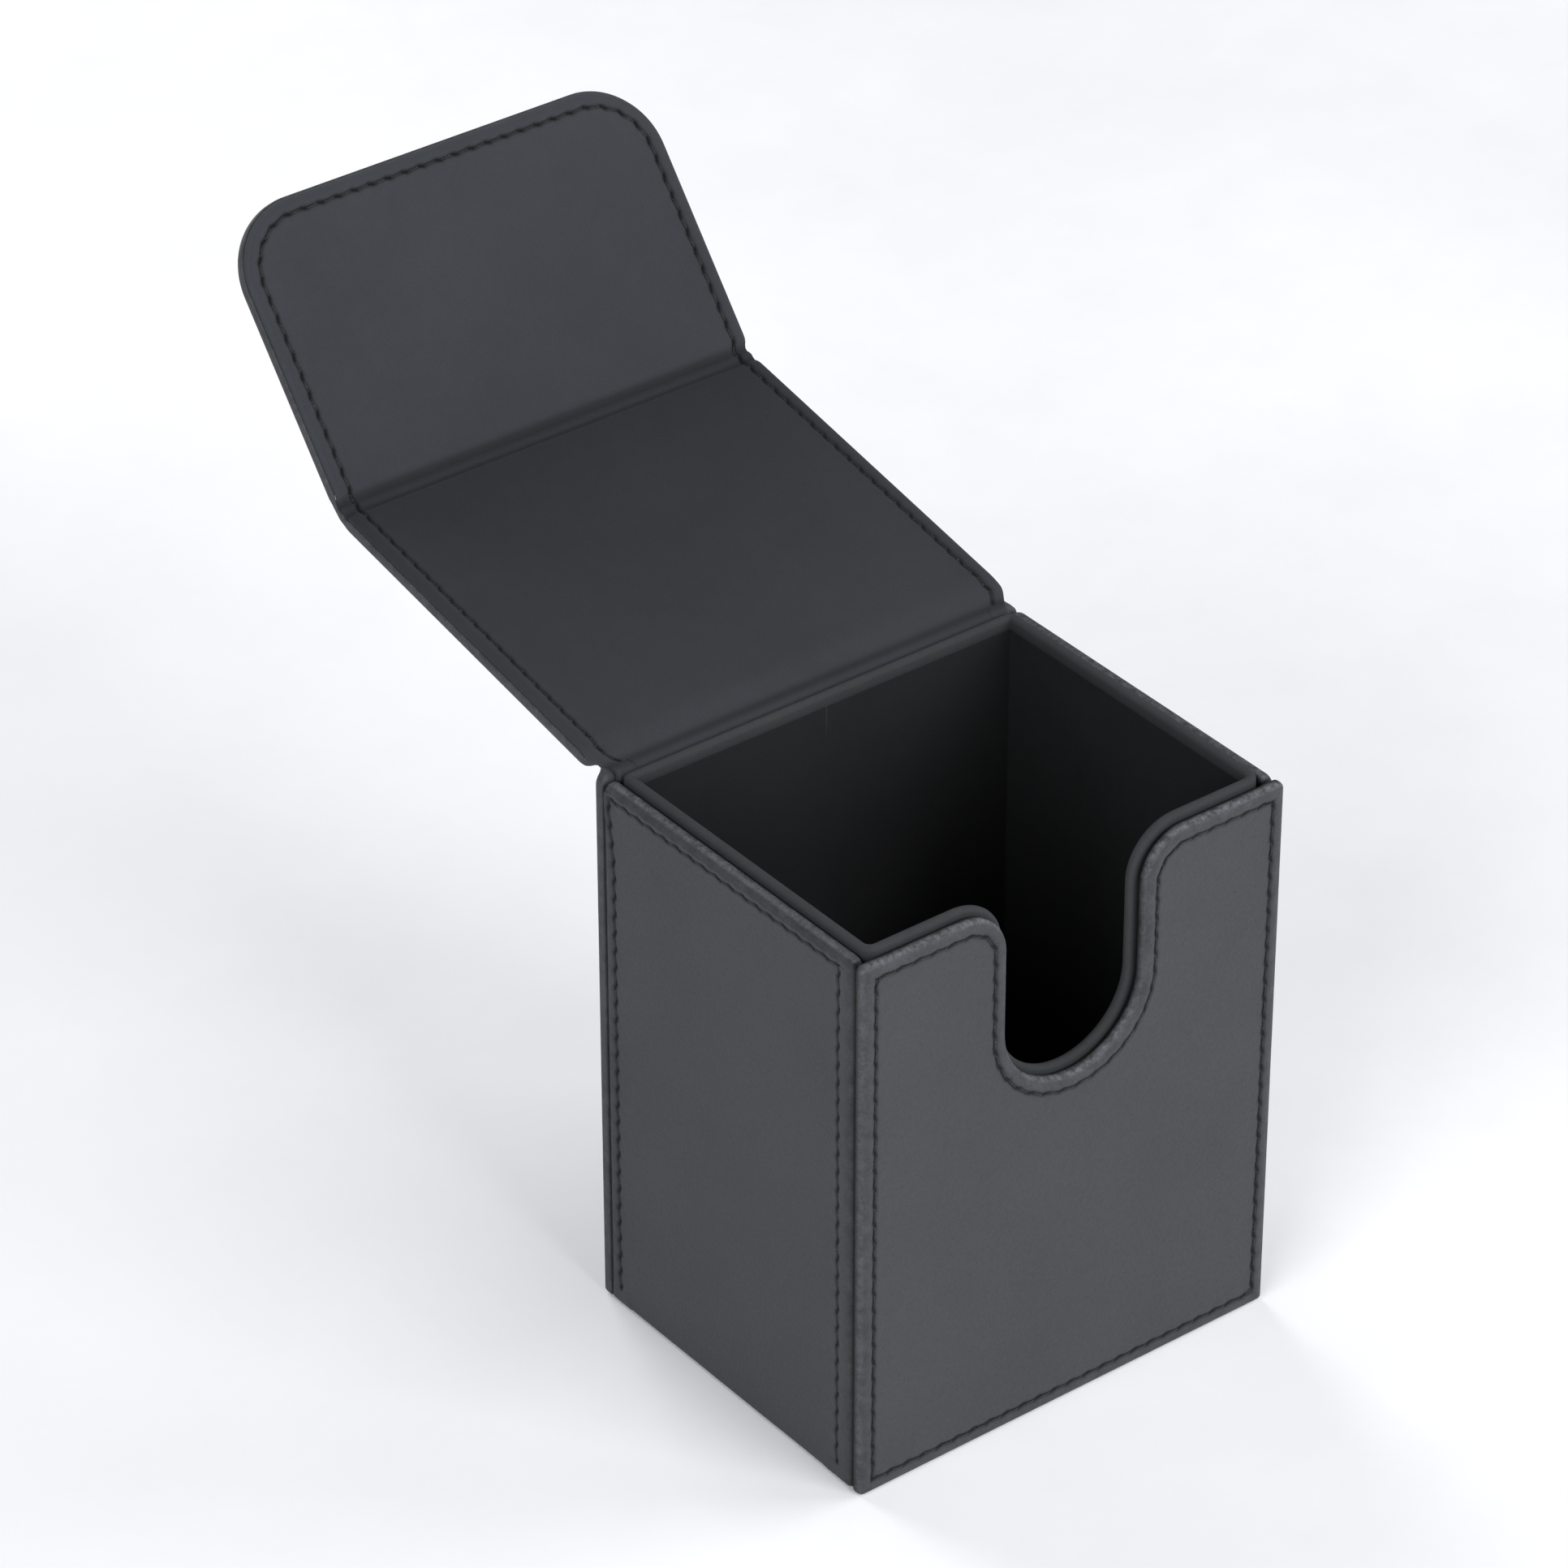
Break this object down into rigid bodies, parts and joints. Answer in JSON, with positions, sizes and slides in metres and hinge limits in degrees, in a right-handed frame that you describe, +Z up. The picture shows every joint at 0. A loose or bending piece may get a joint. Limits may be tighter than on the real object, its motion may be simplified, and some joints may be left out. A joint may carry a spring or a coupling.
{
  "type": "card deck box",
  "caption": "Upright box for a deck of trading cards, wrapped in stitched leatherette, with a thumb notch in front and a hinged lid that ends in a fold-over closing flap.",
  "frame": {"origin": "centre of the underside of the base, on the surface that the box stands on", "axes": "+X to the right across the front, +Y from the thumb notch to the rear hinge, +Z up"},
  "size_m": [0.0804, 0.1627, 0.1489],
  "materials": {
    "leatherette": "matte fine-grained leatherette, charcoal black",
    "lining": "matte smooth microfibre lining, charcoal black",
    "lined_board": "stiff board faced with matte charcoal lining",
    "greyboard": "dense grey bookbinding board",
    "thread": "black polyester sewing thread",
    "magnet": "nickel-plated magnet disc"
  },
  "bodies": {
    "box": {"front_board": "greyboard", "left_board": "greyboard", "right_board": "greyboard", "rear_board": "greyboard", "base_board": "greyboard", "front_cover": "leatherette", "left_cover": "leatherette", "right_cover": "leatherette", "rear_cover": "leatherette", "base_cover": "leatherette", "tray_front_wall": "lined_board", "tray_left_wall": "lined_board", "tray_right_wall": "lined_board", "tray_rear_wall": "lined_board", "tray_floor_board": "lined_board", "hinge_tail": "lining", "front_magnets": "magnet", "front_stitching": "thread", "left_stitching": "thread", "right_stitching": "thread", "rear_stitching": "thread", "hinge_cover": "leatherette", "hinge_lining": "lining"},
    "lid": {"lid_board": "greyboard", "lid_cover": "leatherette", "lid_lining": "lining", "lid_stitching": "thread", "fold_cover": "leatherette", "fold_lining": "lining"},
    "flap": {"flap_board": "greyboard", "flap_cover": "leatherette", "flap_lining": "lining", "flap_magnets": "magnet", "flap_stitching": "thread"}
  },
  "joints": [
    {"name": "lid_hinge", "type": "hinge", "parent": "box", "child": "lid", "pos_m": [0, 0.0324, 0.0982], "axis": [-1, 0, 0], "range_deg": [-169, 56], "deforming": ["hinge_cover", "hinge_lining"]},
    {"name": "flap_fold", "type": "hinge", "parent": "lid", "child": "flap", "pos_m": [0, 0.09719, 0.11079], "axis": [-1, 0, 0], "range_deg": [-50, 55], "deforming": ["fold_cover", "fold_lining"]}
  ]
}
